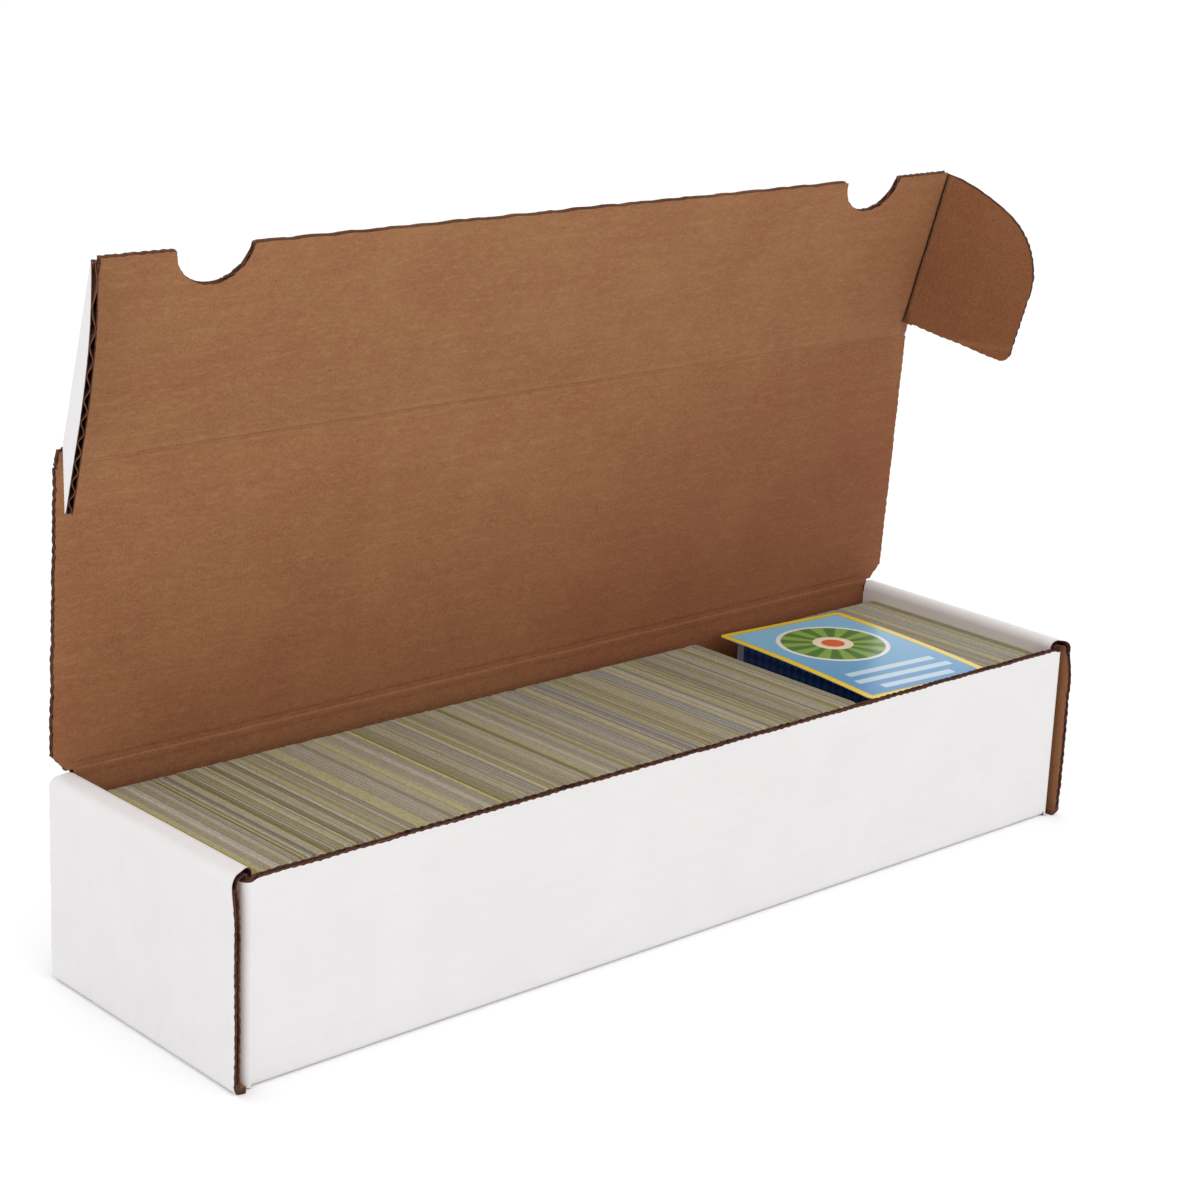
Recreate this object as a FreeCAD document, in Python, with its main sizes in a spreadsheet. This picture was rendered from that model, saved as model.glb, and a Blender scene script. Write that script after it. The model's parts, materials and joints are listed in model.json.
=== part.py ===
"""Card storage box: a die-cut corrugated tray with a hinged lid, full of playing-size cards.

Frame: +X to the right along the box, +Y to the back, +Z up, origin at the centre of the underside.
The lid stands open, its front flap leans forward and the two ears of the flap are half folded.
"""
import FreeCAD, Part
import Sketcher
import math
import os

DIMENSIONS = [
    ("box_length", 396.0, "overall length over the end walls"),
    ("box_depth", 102.5, "front wall face to back wall face"),
    ("box_height", 72.0, "ground to the top of the end walls"),
    ("front_height", 69.6, "ground to the rim of the front wall"),
    ("board", 2.2, "thickness of the pressed corrugated board"),
    ("fold_inside", 0.4, "inside radius of a fold"),
    ("fit", 0.1, "play between two layers that touch"),
    ("ear_play", 0.15, "play on each side of an ear in its pocket"),
    ("overhang", 1.6, "how far an end wall stands out past the front wall"),
    ("overhang_top", 10.0, "height over which the overhang tapers away"),
    ("top_slope", 2.0, "fall of the rolled end top towards the outside"),
    ("roll_outer", 1.4, "inside radius of the roll, outer side"),
    ("roll_inner", 0.8, "inside radius of the roll, inner side"),
    ("tab_length", 44.0, "length of a side tab inside the end wall"),
    ("rim_corner", 1.8, "cut-off corner at each end of the front rim"),
    ("floor_play", 0.3, "height of a tab corner above the ground"),
    ("lock_width", 14.0, "width of a locking tab of the inner end wall"),
    ("lock_spread", 48.0, "distance between two locking tabs"),
    ("crease_play", 0.2, "gap beside the rolled edge of a crease"),
    ("lid_rise", 0.3, "closed lid above the end walls"),
    ("lid_corner", 5.0, "cut-off corner of the lid beside the hinge"),
    ("flap_stand", 0.6, "closed flap in front of the front wall"),
    ("flap_height", 70.3, "front crease to the free edge of the flap"),
    ("notch_centre", 151.0, "middle of a finger notch from the middle of the box"),
    ("notch_width", 29.0, "finger notch at the free edge"),
    ("notch_floor", 15.0, "finger notch at its bottom"),
    ("notch_depth", 12.7, "finger notch depth"),
    ("notch_round", 5.5, "radius at the bottom of a finger notch"),
    ("lip_round", 2.2, "radius at the lip of a finger notch"),
    ("ear_step", 6.0, "front crease to the straight edge of an ear"),
    ("ear_reach", 46.5, "how far an ear stands out from the flap"),
    ("ear_sweep", 69.5, "radius of an ear's edge about the front crease"),
    ("ear_round", 30.0, "radius of an ear's shoulder"),
    ("ear_tip", 4.0, "radius of an ear's lower corner"),
    ("lid_open", 87.2, "angle of the lid from closed"),
    ("flap_fold", 13.2, "fold of the flap from the plane of the lid"),
    ("left_ear_fold", 60.0, "fold of the left ear from the plane of the flap"),
    ("right_ear_fold", 70.0, "fold of the right ear from the plane of the flap"),
    ("card_long", 88.0, "long side of a card"),
    ("card_short", 63.0, "short side of a card"),
    ("card_corner", 3.2, "corner radius of a card"),
    ("card_thick", 0.3, "thickness of one card"),
    ("row_shift", 1.5, "cards stand nearer the back wall by this"),
    ("gap_start", 86.0, "right end of the left row of cards"),
    ("gap_width", 26.0, "finger gap between the two rows of cards"),
    ("lift_bundle", 52.0, "width of the right bundle that the loose card lies on"),
    ("loose_inset", 16.2, "middle of the loose card past the right row's start"),
    ("loose_shift", 1.5, "loose card nearer the front wall by this"),
    ("loose_turn", 5.0, "loose card turned clockwise, seen from above"),
]
LEFT_BUNDLES = 5
SIDES = (("left", -1), ("right", 1))

doc = FreeCAD.newDocument("CardBox")


class Size:
    """A length or an angle: its number, and the spreadsheet formula that gives it."""

    def __init__(self, value, formula):
        self.value = value
        self.formula = formula

    @staticmethod
    def of(other):
        return other if isinstance(other, Size) else Size(float(other), repr(float(other)))

    def __add__(self, other):
        other = Size.of(other)
        return Size(self.value + other.value, f"({self.formula} + {other.formula})")

    def __sub__(self, other):
        other = Size.of(other)
        return Size(self.value - other.value, f"({self.formula} - {other.formula})")

    def __mul__(self, other):
        other = Size.of(other)
        return Size(self.value * other.value, f"({self.formula} * {other.formula})")

    def __truediv__(self, other):
        other = Size.of(other)
        return Size(self.value / other.value, f"({self.formula} / {other.formula})")

    def __neg__(self):
        return Size(-self.value, f"(0 - {self.formula})")

    def root(self):
        return Size(math.sqrt(self.value), f"sqrt({self.formula})")


def make_sheet():
    """The driving dimensions, one row each: what it is, and the number with its alias."""
    sheet = doc.addObject("Spreadsheet::Sheet", "Dimensions")
    sizes = {}
    for row, (alias, number, meaning) in enumerate(DIMENSIONS, start=1):
        sheet.set(f"A{row}", meaning)
        sheet.set(f"B{row}", str(number))
        sheet.setAlias(f"B{row}", alias)
        sizes[alias] = Size(number, f"Dimensions.{alias}")
    return sizes


D = make_sheet()
doc.recompute()

# Where the layers of an end wall stand, as distances from the middle of the box.
BOARD = D["board"]
FOLD = BOARD + D["fold_inside"]
FOLD_RUN = FOLD + D["crease_play"]
ROLL_OUTER = BOARD + D["roll_outer"]
ROLL_INNER = BOARD + D["roll_inner"]
END_FACE = D["box_length"] / 2
END_INSIDE = END_FACE - BOARD
TAB_FACE = END_INSIDE - BOARD - D["ear_play"] * 2
TAB_INSIDE = TAB_FACE - BOARD
INNER_END_FACE = TAB_INSIDE - D["fit"]
INNER_END_INSIDE = INNER_END_FACE - BOARD
WALL_FACE = D["box_depth"] / 2
WALL_INSIDE = WALL_FACE - BOARD
WALL_FLAT = TAB_FACE - FOLD_RUN

# The three creases.
LID_CREASE_Y = WALL_FACE - BOARD / 2
LID_CREASE_Z = D["box_height"] + D["lid_rise"] + BOARD / 2
LID_DEPTH = LID_CREASE_Y + WALL_FACE + D["flap_stand"] + BOARD / 2
EAR_CREASE = TAB_FACE + D["ear_play"] + BOARD / 2
CREASE_REACH = BOARD / 2 + D["crease_play"]

ROW_END = INNER_END_INSIDE - D["fit"]
ROW_FLOOR = BOARD + D["fit"]


def new_body(label):
    body = doc.addObject("PartDesign::Body", label)
    body.Label = label
    return body


def new_sketch(body, plane, name):
    """A sketch on one of the body's own origin planes."""
    sketch = body.newObject("Sketcher::SketchObject", f"{body.Name}_{name}")
    support = [o for o in body.Origin.OriginFeatures if o.Role == plane][0]
    sketch.AttachmentSupport = [(support, "")]
    sketch.MapMode = "FlatFace"
    return sketch


def pin(sketch, geometry, end, point, kinds=("DistanceX", "DistanceY")):
    """Tie one end of a curve to a place given by two sizes."""
    for kind, size in zip(("DistanceX", "DistanceY"), point):
        if kind in kinds:
            size = Size.of(size)
            index = sketch.addConstraint(Sketcher.Constraint(kind, -1, 1, geometry, end, size.value))
            sketch.setExpression(f"Constraints[{index}]", size.formula)


def draw_outline(sketch, corners, arc=None):
    """A closed outline through the corners. Edge number arc, if given, is an arc about the origin."""
    count = len(corners)
    points = [FreeCAD.Vector(Size.of(x).value, Size.of(y).value, 0) for x, y in corners]
    ends = [(1, 2)] * count
    for k in range(count):
        start, end = points[k], points[(k + 1) % count]
        if k == arc:
            circle = Part.Circle(FreeCAD.Vector(), FreeCAD.Vector(0, 0, 1), start.Length)
            first, last = math.atan2(start.y, start.x), math.atan2(end.y, end.x)
            sketch.addGeometry(Part.ArcOfCircle(circle, min(first, last), max(first, last)), False)
            ends[k] = (1, 2) if first < last else (2, 1)
        else:
            sketch.addGeometry(Part.LineSegment(start, end), False)
    for k in range(count):
        after = (k + 1) % count
        sketch.addConstraint(Sketcher.Constraint("Coincident", k, ends[k][1], after, ends[after][0]))
    if arc is not None:
        sketch.addConstraint(Sketcher.Constraint("Coincident", arc, 3, -1, 1))
    for k in range(count):
        # the radius already ties the far end of the arc one way
        on_arc = arc is not None and k == arc + 1
        kinds = ("DistanceY",) if on_arc else ("DistanceX", "DistanceY")
        pin(sketch, k, ends[k][0], corners[k], kinds)


def draw_circle(sketch, radius):
    """A circle about the sketch's origin."""
    circle = Part.Circle(FreeCAD.Vector(), FreeCAD.Vector(0, 0, 1), radius.value)
    sketch.addGeometry(circle, False)
    sketch.addConstraint(Sketcher.Constraint("Coincident", 0, 3, -1, 1))
    index = sketch.addConstraint(Sketcher.Constraint("Radius", 0, radius.value))
    sketch.setExpression(f"Constraints[{index}]", radius.formula)


def add_pad(body, sketch, length, symmetric=True):
    pad = body.newObject("PartDesign::Pad", f"{sketch.Name}_pad")
    pad.Profile = sketch
    pad.SideType = "Symmetric" if symmetric else "One side"
    pad.setExpression("Length", length.formula)
    doc.recompute()
    return pad


def add_pocket(body, sketch):
    """Cut the outline right through the body, and make sure that it took something away."""
    before = body.Shape.Volume
    pocket = body.newObject("PartDesign::Pocket", f"{sketch.Name}_pocket")
    pocket.Profile = sketch
    pocket.Type = "ThroughAll"
    pocket.SideType = "Symmetric"
    doc.recompute()
    if body.Shape.Volume >= before - 1e-6:
        raise RuntimeError(f"{body.Label}: {sketch.Name} cuts nothing")
    return pocket


def edges_through(feature, axis, places):
    """Names of the straight edges along an axis (0, 1 or 2) that pass through one of the places."""
    others = [k for k in range(3) if k != axis]
    names = []
    for number, edge in enumerate(feature.Shape.Edges, start=1):
        ends = [v.Point for v in edge.Vertexes]
        if len(ends) != 2 or abs(ends[0][axis] - ends[1][axis]) < 1e-6:
            continue
        for place in places:
            want = [Size.of(size).value for size in place]
            if all(abs(end[k] - w) < 1e-4 for end in ends for k, w in zip(others, want)):
                names.append(f"Edge{number}")
    if len(names) < len(places):
        raise RuntimeError(f"{feature.Name}: {len(names)} edges for {len(places)} places")
    return names


def add_fillet(body, name, axis, places, radius):
    base = body.Tip
    edges = edges_through(base, axis, places)
    fillet = body.newObject("PartDesign::Fillet", f"{body.Name}_{name}")
    fillet.Base = (base, edges)
    fillet.setExpression("Radius", radius.formula)
    doc.recompute()


def add_chamfer(body, name, axis, places, length):
    base = body.Tip
    edges = edges_through(base, axis, places)
    chamfer = body.newObject("PartDesign::Chamfer", f"{body.Name}_{name}")
    chamfer.Base = (base, edges)
    chamfer.setExpression("Size", length.formula)
    doc.recompute()


def place(body, x=0, y=0, z=0):
    for axis, size in zip("xyz", (x, y, z)):
        body.setExpression(f"Placement.Base.{axis}", Size.of(size).formula)
    doc.recompute()


def bottom_panel():
    """Flat floor with a small cut edge showing in each corner and slots for the locking tabs."""
    body = new_body("bottom_panel")
    bend = FOLD_RUN
    side_x, corner_x = END_FACE - bend, TAB_FACE + D["floor_play"]
    wall_y, front_y = WALL_FACE - bend, WALL_FACE + D["overhang"]
    quarter = [(side_x, WALL_FACE), (corner_x, WALL_FACE), (corner_x, wall_y)]
    corners = quarter + [(-x, y) for x, y in reversed(quarter)]
    corners += [(-side_x, -front_y), (-corner_x, -front_y), (-corner_x, -wall_y)]
    corners += [(corner_x, -wall_y), (corner_x, -front_y), (side_x, -front_y)]
    sketch = new_sketch(body, "XY_Plane", "floor")
    draw_outline(sketch, corners)
    add_pad(body, sketch, BOARD, symmetric=False)
    for side, sign in SIDES:
        for row, way in (("front", -1), ("back", 1)):
            slot = new_sketch(body, "XY_Plane", f"{side}_{row}_slot")
            x_in = (INNER_END_INSIDE - D["fit"]) * sign
            x_out = (INNER_END_FACE + D["fit"]) * sign
            middle, half = D["lock_spread"] / 2 * way, D["lock_width"] / 2 + D["floor_play"]
            low, high = middle - half, middle + half
            draw_outline(slot, [(x_in, low), (x_out, low), (x_out, high), (x_in, high)])
            add_pocket(body, slot)


def long_wall(label, way, top):
    """Front or back wall: a bend up from the floor and a flat panel, drawn across the box."""
    body = new_body(label)
    sketch = new_sketch(body, "YZ_Plane", "section")
    start = (WALL_FACE - FOLD_RUN) * way
    face, inside = WALL_FACE * way, WALL_INSIDE * way
    corners = [(start, 0), (face, 0), (face, top), (inside, top), (inside, BOARD), (start, BOARD)]
    draw_outline(sketch, corners)
    add_pad(body, sketch, WALL_FLAT * 2)
    add_fillet(body, "outer_bend", 0, [(face, 0)], FOLD)
    add_fillet(body, "inner_bend", 0, [(inside, BOARD)], D["fold_inside"])
    if way < 0:
        rim_ends = [(WALL_FLAT * sign, top) for _, sign in SIDES]
        add_chamfer(body, "rim_ends", 1, rim_ends, D["rim_corner"])


def outer_end_top():
    return D["box_height"] - D["top_slope"] - ROLL_OUTER


def inner_end_top():
    return D["box_height"] - ROLL_INNER - BOARD / 2


def side_tab(side, sign, row, way):
    """Tab that turns back from the end of a long wall and stands inside the end wall."""
    body = new_body(f"{row}_{side}_tab")
    sketch = new_sketch(body, "XY_Plane", "section")
    start, face, inside = WALL_FLAT * sign, TAB_FACE * sign, TAB_INSIDE * sign
    wall_face, wall_inside = WALL_FACE * way, WALL_INSIDE * way
    tab_end = (WALL_FACE - D["tab_length"]) * way
    corners = [(start, wall_face), (face, wall_face), (face, tab_end)]
    corners += [(inside, tab_end), (inside, wall_inside), (start, wall_inside)]
    draw_outline(sketch, corners)
    tab_top = inner_end_top() - D["fit"]
    add_pad(body, sketch, tab_top - D["floor_play"], symmetric=False)
    place(body, z=D["floor_play"])
    add_fillet(body, "outer_bend", 2, [(face, wall_face)], FOLD)
    add_fillet(body, "inner_bend", 2, [(inside, wall_inside)], D["fold_inside"])
    relief = new_sketch(body, "YZ_Plane", "floor_relief")
    clear_y = (WALL_FACE - FOLD_RUN) * way
    clear_z = BOARD + D["fit"] - D["floor_play"]
    low = -BOARD
    draw_outline(relief, [(clear_y, low), (0, low), (0, clear_z), (clear_y, clear_z)])
    add_pocket(body, relief)
    free_corner = (tab_end, tab_top - D["floor_play"])
    add_fillet(body, "free_corner", 0, [free_corner], FOLD * 2)


def outer_end(side, sign):
    """Outer layer of an end wall: bend up from the floor, front edge standing out past the wall."""
    body = new_body(f"{side}_outer_end")
    sketch = new_sketch(body, "XZ_Plane", "section")
    start = (END_FACE - FOLD_RUN) * sign
    face, inside = END_FACE * sign, END_INSIDE * sign
    top = outer_end_top()
    corners = [(start, 0), (face, 0), (face, top), (inside, top), (inside, BOARD), (start, BOARD)]
    draw_outline(sketch, corners)
    add_pad(body, sketch, D["box_depth"] + D["overhang"], symmetric=False)
    place(body, y=WALL_FACE)
    add_fillet(body, "outer_bend", 1, [(face, 0)], FOLD)
    add_fillet(body, "inner_bend", 1, [(inside, BOARD)], D["fold_inside"])
    taper = new_sketch(body, "YZ_Plane", "front_taper")
    front, wall = -(D["box_depth"] + D["overhang"]), -D["box_depth"]
    draw_outline(taper, [(front, top - D["overhang_top"]), (wall, top), (front, top)])
    add_pocket(body, taper)


def rolled_top(side, sign):
    """Strip that rolls over from the outer to the inner layer, lower on the outside."""
    body = new_body(f"{side}_rolled_top")
    sketch = new_sketch(body, "XZ_Plane", "section")
    slope = D["top_slope"] / (END_FACE - INNER_END_INSIDE)
    stretch = (slope * slope + 1).root()
    # the sharp corner stands above the crest that is left once it is rounded
    inner_top = D["box_height"] + ROLL_INNER * (slope + stretch - 1)
    outer_top = inner_top - D["top_slope"]
    outer_foot, inner_foot = outer_end_top(), inner_end_top()
    thick = BOARD * stretch
    under_outer = outer_top + slope * BOARD - thick
    under_inner = inner_top - slope * BOARD - thick
    section = [(END_FACE, outer_foot), (END_FACE, outer_top), (INNER_END_INSIDE, inner_top)]
    section += [(INNER_END_INSIDE, inner_foot), (INNER_END_FACE, inner_foot)]
    section += [(INNER_END_FACE, under_inner), (END_INSIDE, under_outer), (END_INSIDE, outer_foot)]
    draw_outline(sketch, [(x * sign, z) for x, z in section])
    add_pad(body, sketch, D["box_depth"])
    add_fillet(body, "outer_round", 1, [(END_FACE * sign, outer_top)], ROLL_OUTER)
    add_fillet(body, "inner_round", 1, [(INNER_END_INSIDE * sign, inner_top)], ROLL_INNER)
    add_fillet(body, "under_outer", 1, [(END_INSIDE * sign, under_outer)], D["roll_outer"])
    add_fillet(body, "under_inner", 1, [(INNER_END_FACE * sign, under_inner)], D["roll_inner"])
    inner_end_y = WALL_INSIDE - D["floor_play"] * 2
    for row, way in (("front", -1), ("back", 1)):
        slant = new_sketch(body, "XY_Plane", f"{row}_slant")
        inner = (INNER_END_INSIDE - BOARD) * sign
        draw_outline(slant, [(END_FACE * sign, WALL_FACE * way), (inner, WALL_FACE * way),
                             (inner, inner_end_y * way), (INNER_END_INSIDE * sign, inner_end_y * way)])
        add_pocket(body, slant)


def inner_end(side, sign):
    """Inner layer of an end wall, hanging from the rolled top, locked into the floor by two tabs."""
    body = new_body(f"{side}_inner_end")
    sketch = new_sketch(body, "YZ_Plane", "outline")
    half = WALL_INSIDE - D["floor_play"]
    foot, tip = BOARD + D["fit"], D["floor_play"]
    top = inner_end_top()
    near = D["lock_spread"] / 2 - D["lock_width"] / 2
    far = D["lock_spread"] / 2 + D["lock_width"] / 2
    right_half = [(near, foot), (near, tip), (far, tip), (far, foot), (half, foot), (half, top)]
    corners = right_half + [(-y, z) for y, z in reversed(right_half)]
    draw_outline(sketch, corners)
    add_pad(body, sketch, BOARD)
    tips = [(y * way, tip) for y in (near, far) for way in (-1, 1)]
    add_chamfer(body, "lock_corners", 0, tips, D["floor_play"] * 3)
    place(body, x=(INNER_END_INSIDE + BOARD / 2) * sign)


def crease_frames():
    """Placements of the lid, the flap and the two ears, each hung on the one before."""
    along = FreeCAD.Vector(1, 0, 0)
    up = FreeCAD.Vector(0, 1, 0)
    lid_hinge = FreeCAD.Vector(0, LID_CREASE_Y.value, LID_CREASE_Z.value)
    frames = {}
    frames["lid"] = FreeCAD.Placement(lid_hinge, FreeCAD.Rotation(along, 180 - D["lid_open"].value))
    crease = FreeCAD.Vector(0, LID_DEPTH.value, 0)
    fold = FreeCAD.Rotation(along, D["flap_fold"].value)
    frames["flap"] = frames["lid"].multiply(FreeCAD.Placement(crease, fold))
    for side, sign in SIDES:
        ear_hinge = FreeCAD.Vector(EAR_CREASE.value * sign, 0, 0)
        fold = FreeCAD.Rotation(up, -sign * D[f"{side}_ear_fold"].value)
        frames[side] = frames["flap"].multiply(FreeCAD.Placement(ear_hinge, fold))
    return frames


def add_rolled_edge(body, plane, half_length, centre=None):
    """Round bead along a crease, about which the next panel turns."""
    sketch = new_sketch(body, plane, "crease")
    draw_circle(sketch, BOARD / 2)
    add_pad(body, sketch, half_length * 2)


def lid_panel(frame):
    """Lid: drawn flat, hinge crease on the sketch's X axis, front crease at LID_DEPTH."""
    body = new_body("lid_panel")
    corner = D["lid_corner"]
    crease_end = END_FACE - corner
    front = LID_DEPTH - CREASE_REACH
    sketch = new_sketch(body, "XY_Plane", "outline")
    draw_outline(sketch, [(-crease_end, 0), (crease_end, 0), (END_FACE, corner), (END_FACE, front),
                          (-END_FACE, front), (-END_FACE, corner)])
    add_pad(body, sketch, BOARD)
    add_rolled_edge(body, "YZ_Plane", crease_end)
    body.Placement = frame


def front_flap(frame):
    """Flap: front crease on the sketch's X axis, two finger notches in the free edge."""
    body = new_body("front_flap")
    wide, narrow = EAR_CREASE + BOARD / 2, EAR_CREASE - CREASE_REACH
    step = D["ear_step"] - D["crease_play"] * 3
    top, floor = D["flap_height"], D["flap_height"] - D["notch_depth"]
    mid, mouth, bed = D["notch_centre"], D["notch_width"] / 2, D["notch_floor"] / 2
    right_half = [(mid - mouth, top), (mid - bed, floor), (mid + bed, floor), (mid + mouth, top)]
    right_half += [(narrow, top), (narrow, step), (wide, step), (wide, 0)]
    corners = right_half + [(-x, y) for x, y in reversed(right_half)]
    sketch = new_sketch(body, "XY_Plane", "outline")
    draw_outline(sketch, corners)
    add_pad(body, sketch, BOARD)
    floors = [((mid + bed * way) * sign, floor) for way in (-1, 1) for _, sign in SIDES]
    lips = [((mid + mouth * way) * sign, top) for way in (-1, 1) for _, sign in SIDES]
    add_fillet(body, "notch_floor", 2, floors, D["notch_round"])
    add_fillet(body, "notch_lips", 2, lips, D["lip_round"])
    add_rolled_edge(body, "YZ_Plane", wide)
    body.Placement = frame


def ear(side, sign, frame):
    """Ear: hinged on the sketch's Y axis, its edge swept about the front crease so it can tuck in."""
    body = new_body(f"{side}_ear")
    low, reach, sweep = D["ear_step"], D["ear_reach"], D["ear_sweep"]
    top = D["flap_height"] - BOARD / 2
    top_end = (sweep * sweep - top * top).root()
    shoulder = (sweep * sweep - reach * reach).root()
    corners = [(0, low), (reach * sign, low), (reach * sign, shoulder), (top_end * sign, top), (0, top)]
    sketch = new_sketch(body, "XY_Plane", "outline")
    draw_outline(sketch, corners, arc=2)
    add_pad(body, sketch, BOARD)
    add_fillet(body, "shoulder", 2, [(reach * sign, shoulder)], D["ear_round"])
    add_fillet(body, "tip", 2, [(reach * sign, low)], D["ear_tip"])
    half_height = (top - low) / 2
    bead = new_sketch(body, "XZ_Plane", "crease")
    draw_circle(bead, BOARD / 2)
    bead.setExpression("AttachmentOffset.Base.z", (-(low + half_height)).formula)
    doc.recompute()
    add_pad(body, bead, half_height * 2)
    body.Placement = frame


def card_block(label, length):
    """Cards standing on their long edges, faces to the left and right, drawn about their middle."""
    body = new_body(label)
    half, high = D["card_long"] / 2, D["card_short"]
    corners = [(-half, 0), (half, 0), (half, high), (-half, high)]
    sketch = new_sketch(body, "YZ_Plane", "outline")
    draw_outline(sketch, corners)
    add_pad(body, sketch, length)
    add_fillet(body, "corners", 0, corners, D["card_corner"])
    return body


def card_bundle(label, start, end):
    """Cards of one row from one X to the next, with a little play to the bundle after it."""
    body = card_block(label, end - start - D["fit"])
    place(body, x=(start + end) / 2, y=D["row_shift"], z=ROW_FLOOR)


def card_rows():
    """Two rows with a finger gap between them, in bundles of the size that a hand lifts."""
    row_start, gap_start = -ROW_END, D["gap_start"]
    pitch = (gap_start - row_start) / LEFT_BUNDLES
    for number in range(LEFT_BUNDLES):
        start = row_start + pitch * number
        card_bundle(f"left_cards_{number + 1}", start, start + pitch)
    gap_end = gap_start + D["gap_width"]
    lift_end = gap_end + D["lift_bundle"]
    card_bundle("right_cards_1", gap_end, lift_end)
    card_bundle("right_cards_2", lift_end, ROW_END)


def loose_card():
    """One card lying face up on the first bundle of the right row, a little askew."""
    body = card_block("loose_card", D["card_thick"])
    middle_x = D["gap_start"] + D["gap_width"] + D["loose_inset"]
    middle_z = ROW_FLOOR + D["card_short"] + D["fit"] + D["card_thick"] / 2
    middle = FreeCAD.Vector(middle_x.value, -D["loose_shift"].value, middle_z.value)
    lay_down = FreeCAD.Rotation(FreeCAD.Vector(0, 1, 0), -90)
    turn = FreeCAD.Rotation(FreeCAD.Vector(0, 0, 1), -D["loose_turn"].value)
    spin = turn.multiply(lay_down)
    half_card = spin.multVec(FreeCAD.Vector(0, 0, D["card_short"].value / 2))
    body.Placement = FreeCAD.Placement(middle - half_card, spin)


def build():
    bottom_panel()
    long_wall("front_wall", -1, D["front_height"])
    long_wall("back_wall", 1, D["box_height"] + D["fit"])
    frames = crease_frames()
    for side, sign in SIDES:
        outer_end(side, sign)
        rolled_top(side, sign)
        inner_end(side, sign)
        side_tab(side, sign, "front", -1)
        side_tab(side, sign, "back", 1)
        ear(side, sign, frames[side])
    lid_panel(frames["lid"])
    front_flap(frames["flap"])
    card_rows()
    loose_card()
    doc.recompute()


def write_parts():
    """Refuse a failed object, then write one STEP file for each sub-part."""
    for thing in doc.Objects:
        if "Invalid" in thing.State or "Error" in thing.State:
            raise RuntimeError(f"{thing.Name} failed: {thing.State}")
    bodies = [o for o in doc.Objects if o.TypeId == "PartDesign::Body"]
    for body in bodies:
        shape = body.Shape
        if shape.isNull() or not shape.isValid() or len(shape.Solids) != 1:
            raise RuntimeError(f"{body.Label}: not one valid solid")
    os.makedirs("parts", exist_ok=True)
    for body in bodies:
        body.Shape.exportStep(f"parts/{body.Label}.step")
        box = body.Shape.BoundBox
        print(f"{body.Label:20s} {box.XMin:8.2f} {box.XMax:8.2f} {box.YMin:8.2f} {box.YMax:8.2f} "
              f"{box.ZMin:8.2f} {box.ZMax:8.2f}  {body.Shape.Volume / 1000:9.2f} cm3")


build()
write_parts()
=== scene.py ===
# Looks of the card storage box: fluted board, white outside and kraft inside, and rows of cards.
# Everything is in metres in the frame's axes: +X along the box, +Y to the hinge, +Z up.
import json
import math
import random
import bmesh
import bpy
from mathutils import Matrix, Vector, noise


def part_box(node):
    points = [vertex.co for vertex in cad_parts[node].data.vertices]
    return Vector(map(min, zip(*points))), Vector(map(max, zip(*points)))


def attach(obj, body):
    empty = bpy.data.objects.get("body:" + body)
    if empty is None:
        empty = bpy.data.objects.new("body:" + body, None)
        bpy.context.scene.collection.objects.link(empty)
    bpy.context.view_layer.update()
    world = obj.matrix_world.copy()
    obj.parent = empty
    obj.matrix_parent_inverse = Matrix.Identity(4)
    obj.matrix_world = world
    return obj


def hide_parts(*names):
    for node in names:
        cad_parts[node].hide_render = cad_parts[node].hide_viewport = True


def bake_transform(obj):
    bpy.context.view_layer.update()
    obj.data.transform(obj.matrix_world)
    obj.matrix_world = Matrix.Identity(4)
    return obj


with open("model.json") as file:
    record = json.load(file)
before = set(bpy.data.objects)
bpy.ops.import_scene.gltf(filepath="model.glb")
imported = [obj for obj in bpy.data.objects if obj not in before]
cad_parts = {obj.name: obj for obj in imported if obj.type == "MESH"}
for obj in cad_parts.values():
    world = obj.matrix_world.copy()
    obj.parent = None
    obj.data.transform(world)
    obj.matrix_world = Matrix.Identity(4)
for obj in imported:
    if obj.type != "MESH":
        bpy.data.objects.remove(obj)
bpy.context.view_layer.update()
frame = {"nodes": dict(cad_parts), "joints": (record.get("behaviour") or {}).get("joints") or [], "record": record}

MM = 0.001
SIDES = (("left", -1), ("right", 1))
ROWS = (("front", -1), ("back", 1))
JOINTS = {joint["name"]: joint for joint in frame["joints"]}
BODY_OF = {node: body for body, nodes in frame["record"]["behaviour"]["bodies"].items() for node in nodes}

# The board: two liners with a wave of fluting between them.
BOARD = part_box("bottom_panel")[1].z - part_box("bottom_panel")[0].z
HALF = BOARD / 2
LINER = 0.30 * MM
MEDIUM = 0.26 * MM
WAVE = HALF - LINER - MEDIUM / 2
FLUTE_PITCH = 6.6 * MM
STEPS_PER_FLUTE = 12
WAVE_INSET = 0.4 * MM

# Cut edges: bites by the teeth of the cutting rule, and steps along an edge to bite into.
TOOTH = 3.3 * MM
TOOTH_BITE = 0.34 * MM
RIM_STEP = TOOTH / 3
# How deep an edge and a roll stand open, how far in the fluting shows, and a torn liner's thickness.
GROOVE = 1.6 * MM
HOLLOW = 6.0 * MM
RIBBON_DEPTH = 0.5 * MM
TORN_LIP = 0.5 * MM
# The long walls' rims slant down to the outside. No edge is bitten this near to a bend.
RIM_SLANT = 0.6 * MM
SLANT_DEPTH = 1.2 * MM
BEND_CLEAR = 3.2 * MM
# What counts as the rim, as the same height, as a side tab's free end, as a roll's inner side and as the
# ends of the lid.
NEAR_RIM = 0.4 * MM
TOUCH = 0.1 * MM
TAB_END = 20 * MM
ROLL_INNER = 3 * MM
LID_END = 100 * MM

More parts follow.
